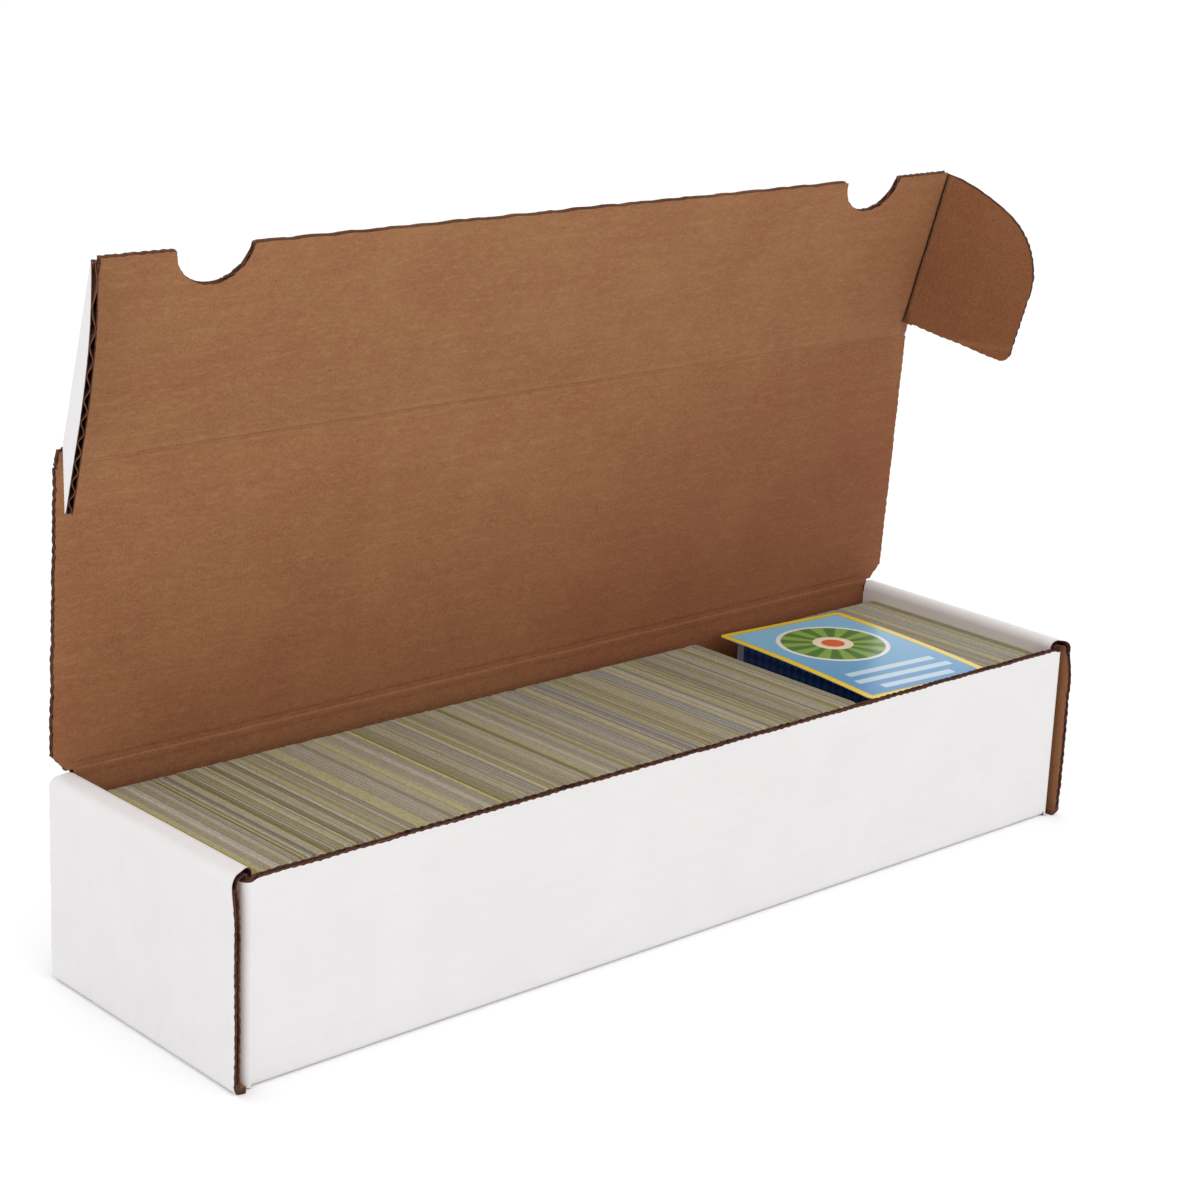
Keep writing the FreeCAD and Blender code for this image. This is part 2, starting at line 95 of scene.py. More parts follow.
# Rest angles: the lid and the flap from flat on the box, each ear from the plane of the flap.
LID_TURN = math.pi + math.radians(JOINTS["lid_hinge"]["range_deg"][0])
FLAP_TURN = LID_TURN + math.radians(JOINTS["flap_crease"]["range_deg"][1])
EAR_TURN = {side: math.radians(JOINTS[f"{side}_ear_crease"]["range_deg"][1]) for side, _ in SIDES}
LID_DEPTH = (Vector(JOINTS["flap_crease"]["pos_m"]) - Vector(JOINTS["lid_hinge"]["pos_m"])).length

# The flap below its ears: half its width there, how high it reaches and how much wider the crease is.
FOOT_HALF = 194.5 * MM
FOOT_TOP = 5.4 * MM
FOOT_EASE = 1.9 * MM
# The flap's finger notches, as half ovals.
NOTCH_MIDDLE = 151.0 * MM
NOTCH_HALF = 14.5 * MM
NOTCH_DEPTH = 12.6 * MM

# The creases, as strips of liner over the bends between the panels. A strip is level up to a part of its
# reach, and sinks from there.
CREASE_REACH = 4.8 * MM
CREASE_BEND = 1.7 * MM
CREASE_SKIN = 0.10 * MM
CREASE_LIFT = 0.05 * MM
CREASE_SINK = 0.16 * MM
CREASE_LEVEL = 0.55
CREASE_WANDER = 0.25 * MM
CREASE_ROUGH = 0.05 * MM
CREASE_STEP = 6 * MM
CREASE_ROWS = 44
HINGE_SHORT = 0.2 * MM
FRONT_SHORT = 0.6 * MM
# The round of board inside an ear's crease, and the gap that the ear's kraft liner leaves for it.
BEAD = 1.13 * MM
BEAD_SIDES = 24
BEAD_SHORT = 0.3 * MM
# How strongly the bead's kraft side is darkened: painted shade in the crease's groove, with some wear.
BEAD_SHADE_AND_WEAR = 2.2
EAR_TRIM = 1.15 * MM
# Half the gap between the halves of an ear's crease, for each degree that the ear still closes or opens.
CLOSING_GROOVE = 0.0215 * MM
OPENING_GROOVE = 0.010 * MM

# On the kraft (1) and the white (-1) face, each crease has bumps across it, each with a middle, a width
# and a height, and then a line of painted shade and wear with a middle, a width and a strength. Lengths are in
# millimetres.
HINGE_CREASE = {1: (((-1.0, 2.0, 0.25), (0.4, 0.8, -0.6)), (1.8, 1.2, 0.22)),
                -1: (((0.0, 0.9, -0.3),), (0.0, 0.45, 0.3))}
FRONT_CREASE = (((-0.1, 0.5, -0.6), (1.3, 0.9, 0.22)), (0.0, 0.4, 0.8))
EAR_CREASE = {1: (((0.0, 1.1, 0.45),), (0.0, 1.4, 1.9)),
              -1: (((0.0, 0.5, -0.5), (2.2, 2.4, -0.14)), (0.0, 0.45, 0.6))}
# From where to where the crease of an ear runs, up from the front crease.
EAR_CREASE_SPAN = {1: (5.6 * MM, 69.4 * MM), -1: (7.2 * MM, 67.8 * MM)}

# A card in its row, with the part of its place that it fills, and the loose one.
CARD_THICK = 0.312 * MM
CARD_PART = 0.94
CARD_CORNER = 3.2 * MM
CARD_HALF_LONG = 44 * MM
CARD_STEP = 4 * MM
CARD_BOW = 0.9 * MM
CARD_REST = 0.02 * MM
LOOSE_TURN = math.radians(-5.0)
CARD_SEED = 41
# Kinds of card edge: how often a run of them comes, its mean length, and its lowest and highest shade.
CARD_KINDS = ((46, 3.0, 0.24, 0.47), (14, 1.6, 0.08, 0.26), (11, 1.4, 0.54, 0.63), (22, 2.4, 0.65, 0.81),
              (15, 3.0, 0.83, 0.91), (7, 1, 0.95, 1.0), (9, 1, 0.0, 0.05))
CARD_SHADES = ((0.0, (92, 82, 60)), (0.14, (132, 119, 90)), (0.30, (160, 147, 118)), (0.44, (184, 173, 148)),
               (0.51, (204, 197, 180)), (0.53, (122, 126, 124)), (0.63, (168, 172, 176)),
               (0.65, (116, 106, 54)), (0.80, (160, 150, 88)), (0.83, (172, 161, 106)),
               (0.91, (194, 183, 126)), (0.95, (206, 190, 74)), (1.0, (224, 206, 72)))

# The camera, as a place to look at, a direction and a distance.
LOOK_AT = Vector((69.4, 126.4, 80.9)) * MM
LOOK_FROM_DISTANCE = 1092.3 * MM
AZIMUTH, ELEVATION, ROLL = (math.radians(a) for a in (-41.46, 16.20, 2.02))
LENS = 80.96
SENSOR = 36
SHIFT = (0.0639, -0.0309)
CLIP_END = 50
# The studio: how far the floor is under the box, the light from all round, and where the lamps aim.
FLOOR_DROP = 0.02 * MM
ROOM_LIGHT = 1.04
LIT_SPOT = Vector((0, 0, 0.08))


# ---------------------------------------------------------------- modelling helpers

def deselect():
    bpy.ops.object.select_all(action="DESELECT")


def activate(piece):
    deselect()
    piece.select_set(True)
    bpy.context.view_layer.objects.active = piece


def start_edit(piece, kind="FACE"):
    activate(piece)
    bpy.ops.object.mode_set(mode="EDIT")
    bpy.ops.mesh.select_mode(type=kind)
    bpy.ops.mesh.select_all(action="DESELECT")


def edit_all(piece):
    start_edit(piece)
    bpy.ops.mesh.select_all(action="SELECT")


def end_edit():
    bpy.ops.object.mode_set(mode="OBJECT")


def anywhere(centre, normal):
    return True


def pick_faces(piece, test):
    """In edit mode, select the faces whose centre and normal pass the test."""
    form = bmesh.from_edit_mesh(piece.data)
    for face in form.faces:
        face.select_set(bool(test(face.calc_center_median(), face.normal)))
    bmesh.update_edit_mesh(piece.data)


def pick_edges(piece, test):
    """In edit mode, select the edges that pass the test."""
    form = bmesh.from_edit_mesh(piece.data)
    for edge in form.edges:
        edge.select_set(bool(test(edge)))
    bmesh.update_edit_mesh(piece.data)


def keep_beyond(piece, point, normal):
    """Cut a piece by a plane, keep what lies on the normal's side and close the cut."""
    edit_all(piece)
    bpy.ops.mesh.bisect(plane_co=point, plane_no=normal, clear_inner=True, use_fill=True)
    end_edit()


def smooth(piece, degrees):
    activate(piece)
    bpy.ops.object.shade_smooth_by_angle(angle=math.radians(degrees))


def apply_modifier(piece, kind, **settings):
    activate(piece)
    modifier = piece.modifiers.new(kind.title(), kind)
    for name, value in settings.items():
        setattr(modifier, name, value)
    bpy.ops.object.modifier_apply(modifier=modifier.name)


def add_object(name, data):
    thing = bpy.data.objects.new(name, data)
    bpy.context.scene.collection.objects.link(thing)
    return thing


def add_grid(name, columns, rows):
    """A flat grid one metre square about the origin."""
    deselect()
    bpy.ops.mesh.primitive_grid_add(x_subdivisions=columns, y_subdivisions=rows, size=1, location=(0, 0, 0))
    grid = bpy.context.object
    grid.name = name
    return grid


def join(pieces, name):
    """One piece out of several, under the first one's data."""
    deselect()
    for piece in pieces:
        piece.select_set(True)
    bpy.context.view_layer.objects.active = pieces[0]
    bpy.ops.object.join()
    pieces[0].name = name
    return pieces[0]


def cad_copy(node, name, place):
    """The node's own form, its triangles joined into whole faces, seen from a panel's frame."""
    mesh = frame["nodes"][node].data.copy()
    mesh.name = name
    mesh.materials.clear()
    mesh.transform(place.inverted())
    piece = add_object(name, mesh)
    edit_all(piece)
    bpy.ops.mesh.remove_doubles(threshold=1e-6)
    bpy.ops.mesh.dissolve_limited(angle_limit=math.radians(0.5))
    bpy.ops.mesh.customdata_custom_splitnormals_clear()
    end_edit()
    bpy.ops.object.shade_flat()
    return piece


def paint(piece, coats):
    """Give each face the first material whose test of centre and normal it passes."""
    for material, _ in coats:
        piece.data.materials.append(material)
    for face in piece.data.polygons:
        for index, (_, test) in enumerate(coats):
            if test(face.center, face.normal):
                face.material_index = index
                break


def lay_sheet_map(piece, along, across):
    """A UV map in metres over the flat blank: U runs along the flutes and V across them."""
    layer = piece.data.uv_layers.get("sheet") or piece.data.uv_layers.new(name="sheet")
    for loop in piece.data.loops:
        point = piece.data.vertices[loop.vertex_index].co
        layer.data[loop.index].uv = (along(point), across(point))


def stand_for(piece, node):
    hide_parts(node)
    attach(piece, BODY_OF[node])


# ---------------------------------------------------------------- material helpers

def fill(node, inputs):
    """Give a node's inputs their numbers, or link them to other nodes' outputs."""
    for name, value in inputs.items():
        if isinstance(value, bpy.types.NodeSocket):
            node.id_data.links.new(value, node.inputs[name])
        else:
            node.inputs[name].default_value = value
    return node


def new_material(name, roughness, specular=0.35):
    material = bpy.data.materials.new(name)
    material.use_nodes = True
    shader = material.node_tree.nodes["Principled BSDF"]
    fill(shader, {"Roughness": roughness, "Specular IOR Level": specular})
    return material, material.node_tree, shader


def add_node(tree, kind, inputs=None, **settings):
    node = tree.nodes.new(f"ShaderNode{kind}")
    for name, value in settings.items():
        setattr(node, name, value)
    return fill(node, inputs or {})


def math_node(tree, operation, first, second=0.0, third=0.0):
    return add_node(tree, "Math", {0: first, 1: second, 2: third}, operation=operation).outputs[0]


def times(tree, first, second):
    return math_node(tree, "MULTIPLY", first, second)


def map_range(tree, value, low, high, start=0.0, end=1.0):
    """Runs from start to end while the value goes from low to high, and stays level past both."""
    return add_node(tree, "MapRange", {0: value, 1: low, 2: high, 3: start, 4: end}).outputs[0]


def speckle(tree, vector, scale, detail=2.0, rough=0.5):
    values = {"Vector": vector, "Scale": scale, "Detail": detail, "Roughness": rough}
    return add_node(tree, "TexNoise", values).outputs[0]


def bump(tree, height, strength, distance, **under):
    values = {"Height": height, "Strength": strength, "Distance": distance, **under}
    return add_node(tree, "Bump", values).outputs[0]


def mix_colour(tree, factor, first, second, blend="MIX"):
    node = add_node(tree, "Mix", {}, data_type="RGBA", blend_type=blend)
    return fill(node, {0: factor, 6: first, 7: second}).outputs[2]


def object_place(tree):
    return add_node(tree, "TexCoord").outputs["Object"]


def surface_value(tree, name):
    return add_node(tree, "Attribute", attribute_name=name).outputs["Fac"]


def srgb(red, green, blue):
    """A colour as a paint chart gives it, 0 to 255, in the shader's own units."""
    shares = [c / 255 for c in (red, green, blue)]
    return (*(c / 12.92 if c <= 0.04 else ((c + 0.055) / 1.055) ** 2.4 for c in shares), 1.0)


def paper(base, dark, light, warm, clouds=0.5, grain=0.5, flecks=0.4):
    """Values for the paper group: its tints, and how strong its clouds, grain and flecks are."""
    tints = {"Base": base, "Dark": dark, "Light": light, "Warm": warm}
    return {**{name: srgb(*tint) for name, tint in tints.items()},
            "Clouds": clouds, "Grain": grain, "Flecks": flecks}


def new_group(name, inputs, outputs):
    """An empty shader group, with the kinds of its inputs and outputs by name."""
    tree = bpy.data.node_groups.new(name, "ShaderNodeTree")
    for way, sockets in (("INPUT", inputs), ("OUTPUT", outputs)):
        for label, kind in sockets.items():
            tree.interface.new_socket(label, in_out=way, socket_type=f"NodeSocket{kind}")
    return tree, tree.nodes.new("NodeGroupInput").outputs, tree.nodes.new("NodeGroupOutput")


def group_node(tree, group, inputs):
    return add_node(tree, "Group", inputs, node_tree=group).outputs


# ---------------------------------------------------------------- shared effects

def make_fibre_group():
    """Paper: slow clouds in two tints, fine grain, short fibres along the sheet and a few dark flecks."""
    tree, given, out = new_group(
        "paper_fibre",
        {"Vector": "Vector", "Base": "Color", "Dark": "Color", "Light": "Color", "Warm": "Color",
         "Clouds": "Float", "Grain": "Float", "Flecks": "Float"},
        {"Color": "Color", "Height": "Float"})
    spot = given["Vector"]

    def mask(scale, low, high, vector=spot, detail=3.0, rough=0.6):
        return map_range(tree, speckle(tree, vector, scale, detail, rough), low, high)

    def layer(amount, strength, under, over):
        return mix_colour(tree, times(tree, amount, given[strength]), under, given[over])

    stretched = add_node(tree, "Mapping", {0: spot, 3: (0.25, 1.0, 1.0)}).outputs[0]
    grain = mask(1500.0, 0.34, 0.68, rough=0.8)
    fibres = mask(900.0, 0.5, 0.72, stretched)
    colour = layer(mask(34.0, 0.34, 0.68, detail=5.0), "Clouds", given["Base"], "Light")
    colour = layer(mask(52.0, 0.42, 0.66, detail=4.0), "Clouds", colour, "Warm")
    colour = layer(grain, "Grain", colour, "Dark")
    colour = layer(fibres, "Grain", colour, "Light")
    cells = add_node(tree, "TexVoronoi", {"Vector": spot, "Scale": 92.0}).outputs["Distance"]
    colour = layer(map_range(tree, cells, 0.022, 0.044, 1.0, 0.0), "Flecks", colour, "Dark")
    height = math_node(tree, "MULTIPLY_ADD", fibres, 0.5, times(tree, grain, 0.5))
    fill(out, {"Color": colour, "Height": height})
    return tree


def make_flute_group():
    """Washboard: the fluting shows through a liner as soft ridges across the sheet, with painted shade along them.
    """
    tree, given, out = new_group(
        "flute_ridges",
        {"Vector": "Vector", "Pitch": "Float", "Uneven": "Vector"},
        {"Height": "Float", "Shade": "Float"})
    across = add_node(tree, "SeparateXYZ", {0: given["Vector"]}).outputs[1]
    turns = times(tree, math_node(tree, "DIVIDE", across, given["Pitch"]), 2 * math.pi)
    ridge = math_node(tree, "MULTIPLY_ADD", math_node(tree, "SINE", turns), 0.5, 0.5)
    fill(out, {"Height": ridge, "Shade": times(tree, ridge, speckle(tree, given["Uneven"], 22.0))})
    return tree


FIBRE = make_fibre_group()
FLUTES = make_flute_group()


def ramp(tree, value, start, end, amount):
    """0 where the value is at start, growing to amount where it is at end, both in millimetres."""
    return map_range(tree, value, start * MM, end * MM, 0.0, amount)


def painted_kraft_shade(tree, spot):
    """How much painted shade darkens the kraft, from 0 to 1.

    It grows toward the hinge, toward the right, below the front crease and on the ears. The outer layers of
    the end walls stay clear of it.
    """
    axes = add_node(tree, "SeparateXYZ", {0: spot}).outputs
    outside = math_node(tree, "ABSOLUTE", axes["X"])
    right = ramp(tree, axes["X"], -20.0, 190.0, 0.35)
    below = times(tree, ramp(tree, axes["Z"], 176.0, 174.6, 1.0),
                  math_node(tree, "MULTIPLY_ADD", right, 0.8, 0.10))
    ears = times(tree, ramp(tree, outside, 193.2, 194.2, 0.45), ramp(tree, axes["Z"], 176.0, 178.0, 1.0))
    ends = times(tree, ramp(tree, outside, 194.2, 195.0, -0.9), ramp(tree, axes["Z"], 73.0, 71.5, 1.0))
    total = ramp(tree, axes["Z"], 175.0, 85.0, 0.56)
    for part in (right, below, ears, ends):
        total = math_node(tree, "ADD", total, part)
    return math_node(tree, "MAXIMUM", math_node(tree, "MINIMUM", total, 1.0), 0.0)


# ---------------------------------------------------------------- board materials

def liner_material(name, tints, ridge_shade, roughness, relief, crease_shade_colour, shade_tint=None):
    """Paper liner glued to the fluting. Its creases are darkened toward a given colour, as wear and as painted
    shade in the fold.
    """
    material, tree, shader = new_material(name, roughness)
    spot = object_place(tree)
    sheet = add_node(tree, "UVMap", uv_map="sheet").outputs[0]
    fibre = group_node(tree, FIBRE, {"Vector": spot, **tints})
    ridges = group_node(tree, FLUTES, {"Vector": sheet, "Pitch": FLUTE_PITCH, "Uneven": spot})
    # painted shade: the liner darkens along the flute ridges
    colour = mix_colour(tree, times(tree, ridges["Shade"], ridge_shade), fibre["Color"], tints["Dark"])
    # painted shade: the kraft darkens toward the hinge, the right, below the front crease and on the ears
    if shade_tint:
        colour = mix_colour(tree, painted_kraft_shade(tree, spot), colour, shade_tint, blend="MULTIPLY")
    # painted shade in the creases, with some wear: each crease darkens along its line
    colour = mix_colour(tree, surface_value(tree, "crease_shade_and_wear"), colour, crease_shade_colour)
    coarse = bump(tree, ridges["Height"], 0.5, 0.05 * MM)
    fine = bump(tree, fibre["Height"], relief, 0.05 * MM, Normal=coarse)
    rough = map_range(tree, fibre["Height"], 0.0, 1.0, roughness - 0.08, roughness + 0.08)
    fill(shader, {"Base Color": colour, "Roughness": rough, "Normal": fine})
    return material


def white_liner():
    tints = paper(base=(226, 224, 224), dark=(172, 164, 162), light=(230, 228, 228), warm=(224, 220, 222),
                  clouds=0.5, grain=0.05, flecks=0.0)
    return liner_material("white_liner", tints, ridge_shade=0.03, roughness=0.62, relief=0.10,
                          crease_shade_colour=srgb(168, 160, 156))


def kraft_liner():
    tints = paper(base=(159, 110, 72), dark=(100, 58, 32), light=(173, 126, 84), warm=(155, 100, 68),
                  clouds=0.46, grain=0.50, flecks=0.7)
    # the tint of the kraft's painted shade, darker and redder
    return liner_material("kraft_liner", tints, ridge_shade=0.10, roughness=0.86, relief=0.35,
                          crease_shade_colour=srgb(58, 31, 16), shade_tint=(0.72, 0.55, 0.48, 1.0))


def cut_edge_material(name, tints):
    """Crushed layers of paper, darker in the hollows between them as painted shade."""
    material, tree, shader = new_material(name, 0.9, 0.2)
    spot = object_place(tree)
    fibre = group_node(tree, FIBRE, {"Vector": spot, **tints})
    crush_and_hollow_shade = speckle(tree, spot, 420.0, detail=3.0)
    # painted shade: the crushed edge darkens in its hollows
    colour = mix_colour(tree, map_range(tree, crush_and_hollow_shade, 0.5, 0.66), fibre["Color"], tints["Dark"])
    fill(shader, {"Base Color": colour, "Normal": bump(tree, crush_and_hollow_shade, 0.6, 0.15 * MM)})
    return material


def cut_board():
    return cut_edge_material("cut_board", paper((86, 50, 42), (42, 22, 24), (124, 86, 66), (70, 38, 34)))


def torn_liner():
    tints = paper((160, 116, 84), (104, 66, 46), (188, 146, 110), (146, 100, 72))
    return cut_edge_material("torn_liner", tints)


def fluting():
    """Raw brown paper of the wave and of the liners' hidden sides, darker than the liners. On the walls of open
    edges its darkness is partly painted shade of the groove.
    """
    material, tree, shader = new_material("fluting", 0.92, 0.15)
    tints = paper((112, 74, 52), (60, 36, 28), (142, 102, 74), (96, 58, 42), 0.6, 0.4, 0.3)
    fibre = group_node(tree, FIBRE, {"Vector": object_place(tree), **tints})
    fill(shader, {"Base Color": fibre["Color"]})
    return material


# ---------------------------------------------------------------- card materials

def card_edges():
    """Edges of the cards. Each card has its own shade, and print that runs off its edge tints it."""
    material, tree, shader = new_material("card_edges", 0.62, 0.3)
    shades = add_node(tree, "ValToRGB", {0: surface_value(tree, "card_tone")})
    elements = shades.color_ramp.elements
    while len(elements) < len(CARD_SHADES):
        elements.new(0.5)
    for element, (place, colour) in zip(elements, CARD_SHADES):
        element.position = place
        element.color = srgb(*colour)
    grain = speckle(tree, object_place(tree), 1400.0)
    speck = map_range(tree, grain, 0.35, 0.65, 0.0, 0.42)
    colour = mix_colour(tree, speck, shades.outputs[0], srgb(90, 84, 70))
    fill(shader, {"Base Color": colour, "Normal": bump(tree, grain, 0.4, 0.05 * MM)})
    return material


def card_local(tree, centre, turn):
    """Place on a card in millimetres, from its middle: across the short side, then along the long side."""
    away = tuple(-c for c in centre)
    shifted = add_node(tree, "VectorMath", {0: object_place(tree), 1: away}, operation="ADD")
    turned = add_node(tree, "Mapping", {0: shifted.outputs[0], 2: turn, 3: (1 / MM,) * 3})
    across, along, _ = add_node(tree, "SeparateXYZ", {0: turned.outputs[0]}).outputs
    return across, along


def band_mask(tree, value, low, high, soft=0.15):
    """1 between two limits, with soft edges."""
    middle, half = (low + high) / 2, (high - low) / 2
    away = math_node(tree, "ABSOLUTE", math_node(tree, "SUBTRACT", value, middle))
    return map_range(tree, away, half - soft, half + soft, 1.0, 0.0)


def frame_mask(tree, across, along, half_wide, half_high):
    """1 inside a rectangle about the card's middle."""
    return times(tree, band_mask(tree, across, -half_wide, half_wide),
                 band_mask(tree, along, -half_high, half_high))


def sunburst(tree, across, along, field):
    """A disc of green rays on the field, with a pale ring, a cream middle and an orange heart."""
    middle, rays = 12.0, 12.0
    up = math_node(tree, "SUBTRACT", along, middle)
    square = math_node(tree, "ADD", times(tree, across, across), times(tree, up, up))
    radius = math_node(tree, "POWER", square, 0.5)
    ray = math_node(tree, "SINE", times(tree, math_node(tree, "ARCTAN2", up, across), rays))
    disc = mix_colour(tree, map_range(tree, ray, -0.15, 0.15), srgb(70, 128, 62), srgb(132, 176, 84))
    picture = mix_colour(tree, band_mask(tree, radius, -21.0, 21.0), field, disc)
    for low, high, colour in ((20.4, 22.2, (236, 240, 236)), (-8.0, 8.0, (244, 236, 206)),
                              (-4.6, 4.6, (222, 104, 56))):
        picture = mix_colour(tree, band_mask(tree, radius, low, high), picture, srgb(*colour))
    return picture


def pale_bars(tree, across, along, picture):
    """Three bars below the sunburst, each with its top edge and half its length in millimetres."""
    bar_height, strength = 3.6, 0.7
    for top, reach in ((-18.5, 22.0), (-26.0, 24.0), (-33.5, 18.0)):
        upright = band_mask(tree, along, top - bar_height, top)
        bar = times(tree, upright, band_mask(tree, across, -reach, reach))
        picture = mix_colour(tree, times(tree, bar, strength), picture, srgb(222, 240, 246))
    return picture


def card_face(centre, turn):
    """Printed face: yellow border, blue field, a green sunburst and three pale bars."""
    material, tree, shader = new_material("card_face", 0.3, 0.5)
    across, along = card_local(tree, centre, turn)
    field = mix_colour(tree, map_range(tree, along, -44.0, 44.0), srgb(64, 140, 196), srgb(140, 206, 236))
    picture = pale_bars(tree, across, along, sunburst(tree, across, along, field))
    rim = frame_mask(tree, across, along, 28.7, 41.2)
    border = mix_colour(tree, rim, srgb(240, 212, 64), srgb(196, 170, 60))
    inner = frame_mask(tree, across, along, 28.2, 40.7)
    printed = mix_colour(tree, inner, border, picture)
    fill(shader, {"Base Color": printed, "Coat Weight": 0.25, "Coat Roughness": 0.2})
    return material


def card_back(name, centre, turn):
    """Printed back: pale rim, blue field and a lattice of small diamonds."""
    material, tree, shader = new_material(name, 0.4, 0.45)
    across, along = card_local(tree, centre, turn)
    stripes = [math_node(tree, "SINE", times(tree, math_node(tree, way, across, along), 0.8))
               for way in ("ADD", "SUBTRACT")]
    lattice = map_range(tree, times(tree, *stripes), -0.1, 0.2)
    field = mix_colour(tree, lattice, srgb(38, 74, 132), srgb(62, 104, 166))
    inner = frame_mask(tree, across, along, 27.5, 40.0)
    fill(shader, {"Base Color": mix_colour(tree, inner, srgb(196, 204, 214), field)})
    return material


WHITE = white_liner()
KRAFT = kraft_liner()
CUT = cut_board()
TORN = torn_liner()
FLUTING_AND_GROOVE_SHADE = fluting()
CARD_EDGE = card_edges()


# ---------------------------------------------------------------- lid, flap and ears

def at_joint(name, turn):
    """A frame that stands in a crease and is turned about X, which runs along it."""
    return Matrix.Translation(JOINTS[name]["pos_m"]) @ Matrix.Rotation(turn, 4, "X")


# Frames of the turning panels: X along the crease, Y away from the hinge, Z to the kraft side.
PLACES = {"lid": at_joint("lid_hinge", LID_TURN), "flap": at_joint("flap_crease", FLAP_TURN)}
for side, sign in SIDES:
    PLACES[side] = at_joint(f"{side}_ear_crease", FLAP_TURN) @ Matrix.Rotation(-sign * EAR_TURN[side], 4, "Y")


def ease_foot(piece):
    """The flap's foot widens to the lid's width in a short slant below the ears."""
    for vert in piece.data.vertices:
        if abs(vert.co.x) > FOOT_HALF and vert.co.y < FOOT_TOP + 2 * TOUCH:
            vert.co.x += math.copysign(FOOT_EASE * max(0.0, 1 - vert.co.y / FOOT_TOP), vert.co.x)


def liner_plate(node, name, place, side):
    """One liner of a panel: the slice of its form next to the kraft (+1) or the white (-1) side."""
    plate = cad_copy(node, name, place)
    if node == "front_flap":
        ease_foot(plate)
    keep_beyond(plate, (0, 0, side * (HALF - LINER)), (0, 0, side))
    for word, sign in SIDES:
        if node == f"{word}_ear" and side > 0:
            # just short of the crease, where the crease's own strip takes over
            keep_beyond(plate, (sign * EAR_TRIM, 0, 0), (sign, 0, 0))
    return plate


def round_notches(piece):
    """Round the two finger notches of the flap to half ovals."""
    top = max(v.co.y for v in piece.data.vertices)
    for vert in piece.data.vertices:
        for middle in (-NOTCH_MIDDLE, NOTCH_MIDDLE):
            x, y = vert.co.x - middle, top - vert.co.y
            if abs(x) < NOTCH_HALF + TOUCH and 0.5 * TOUCH < y < NOTCH_DEPTH + 1.5 * MM:
                stretch = 1 / math.hypot(x / NOTCH_HALF, y / NOTCH_DEPTH)
                vert.co.x, vert.co.y = middle + x * stretch, top - y * stretch


def edge_length(piece, edge):
    a, b = (piece.data.vertices[i].co for i in edge.vertices)
    return (a - b).length


def split_rim(plate, on_rim):
    """Cut the rim into short steps where the test passes, then close both flat sides again."""
    levels = sorted({round(v.co.z, 6) for v in plate.data.vertices})
    flat_sides = (levels[0], levels[-1])

    def is_long(edge, count):
        a, b = (v.co for v in edge.verts)
        is_flat = abs(a.z - b.z) < LINER / 4
        return is_flat and int((a - b).length / RIM_STEP) == count and on_rim((a + b) / 2)

    def on_flat_side(centre, normal):
        return abs(normal.z) > 0.9 and min(abs(centre.z - level) for level in flat_sides) < LINER / 20

    def is_open(edge, level):
        return edge.is_boundary and all(abs(v.co.z - level) < LINER / 4 for v in edge.verts)

    start_edit(plate)
    pick_faces(plate, on_flat_side)
    bpy.ops.mesh.delete(type="ONLY_FACE")
    end_edit()
    counts = {int(edge_length(plate, edge) / RIM_STEP) for edge in plate.data.edges}
    for count in sorted(c for c in counts if c > 1):
        start_edit(plate, "EDGE")
        pick_edges(plate, lambda edge: is_long(edge, count))
        bpy.ops.mesh.subdivide(number_cuts=count - 1)
        end_edit()
    for level in flat_sides:
        start_edit(plate, "EDGE")
        pick_edges(plate, lambda edge: is_open(edge, level))
        bpy.ops.mesh.edge_face_add()
        end_edit()
    edit_all(plate)
    bpy.ops.mesh.normals_make_consistent(inside=False)
    end_edit()


def bite(spot, along):
    """How deep the cutting rule bites at a spot: even teeth along the edge, and some unevenness."""
    wander = 0.3 * noise.noise(spot * 60)
    tooth = 0.5 + 0.5 * math.cos(2 * math.pi * (along / TOOTH + wander))
    uneven = 0.6 * noise.noise(spot * 300) + 0.8 * noise.noise(spot * 90)
    return TOOTH_BITE * (tooth ** 2 + uneven)


def bite_rim(plate, on_rim):
    """The teeth of the cutting rule leave shallow bites along the rim, the same on both liners."""
    form = bmesh.new()
    form.from_mesh(plate.data)
    moves = []
    for vert in form.verts:
        outward = sum((face.normal for face in vert.link_faces if abs(face.normal.z) < 0.5), Vector())
        outward.z = 0
        if outward.length < 0.5 or not on_rim(vert.co):
            continue
        outward.normalize()
        along = vert.co.x * outward.y - vert.co.y * outward.x
        moves.append((vert, -outward * bite(Vector((vert.co.x, vert.co.y, 0)), along)))
    for vert, move in moves:
        vert.co += move
    form.to_mesh(plate.data)
    form.free()


def flute_wave(node, name, place, on_rim):
    """The wave between the liners, cut to the panel's outline."""
    core = cad_copy(node, f"{name}_core", place)
    if node == "front_flap":
        split_rim(core, on_rim)
        round_notches(core)
    corners = [Vector(c) for c in core.bound_box]
    low = Vector((min(c.x for c in corners), min(c.y for c in corners), 0))
    high = Vector((max(c.x for c in corners), max(c.y for c in corners), 0))
    span = high - low
    wave = add_grid(name, 1, int(span.y / FLUTE_PITCH * STEPS_PER_FLUTE))
    for vert in wave.data.vertices:
        x = low.x + (vert.co.x + 0.5) * span.x
        y = low.y + (vert.co.y + 0.5) * span.y
        vert.co = (x, y, WAVE * math.sin(2 * math.pi * y / FLUTE_PITCH))
    apply_modifier(wave, "SOLIDIFY", thickness=MEDIUM, offset=0)
    inset = 1 - WAVE_INSET / max(span.x, span.y)
    core.data.transform(Matrix.Diagonal((inset, inset, 1, 1)))
    apply_modifier(wave, "BOOLEAN", operation="INTERSECT", object=core, solver="EXACT")
    bpy.data.objects.remove(core)
    return wave


